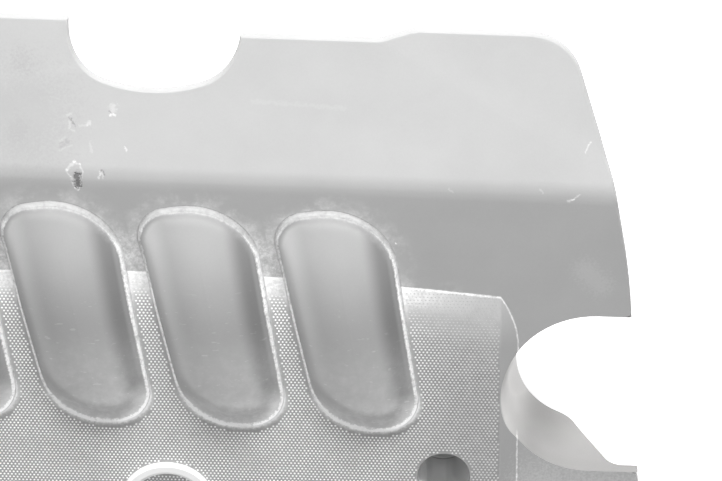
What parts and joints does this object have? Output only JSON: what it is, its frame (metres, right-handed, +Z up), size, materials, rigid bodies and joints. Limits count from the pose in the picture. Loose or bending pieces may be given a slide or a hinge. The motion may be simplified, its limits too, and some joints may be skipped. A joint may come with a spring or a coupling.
{
  "type": "engine cover",
  "caption": "Moulded plastic engine cover with slanted domed humps, a raised dotted panel, an open badge ring, drafted cut-outs, sleeved front fixings and rubber rear bushes.",
  "frame": {"origin": "middle of the footprint, on the mounting plane that the sleeves and bushes stand on", "axes": "+X across the engine to the side with the deep cut-out, +Y to the sloped rear edge, +Z up"},
  "size_m": [0.5964, 0.3948, 0.083],
  "materials": {
    "cover_plastic": "satin, finely grained, dusty and scuffed",
    "badge_chrome": "bright plated",
    "bush_rubber": "matte",
    "fixing_steel": "zinc plated, dull"
  },
  "bodies": {
    "root": {"cover_moulding": "cover_plastic", "badge_ring": "badge_chrome", "left_grommet": "bush_rubber", "right_grommet": "bush_rubber", "left_sleeve": "fixing_steel", "right_sleeve": "fixing_steel", "left_rear_bush": "bush_rubber", "right_rear_bush": "bush_rubber"}
  },
  "joints": []
}
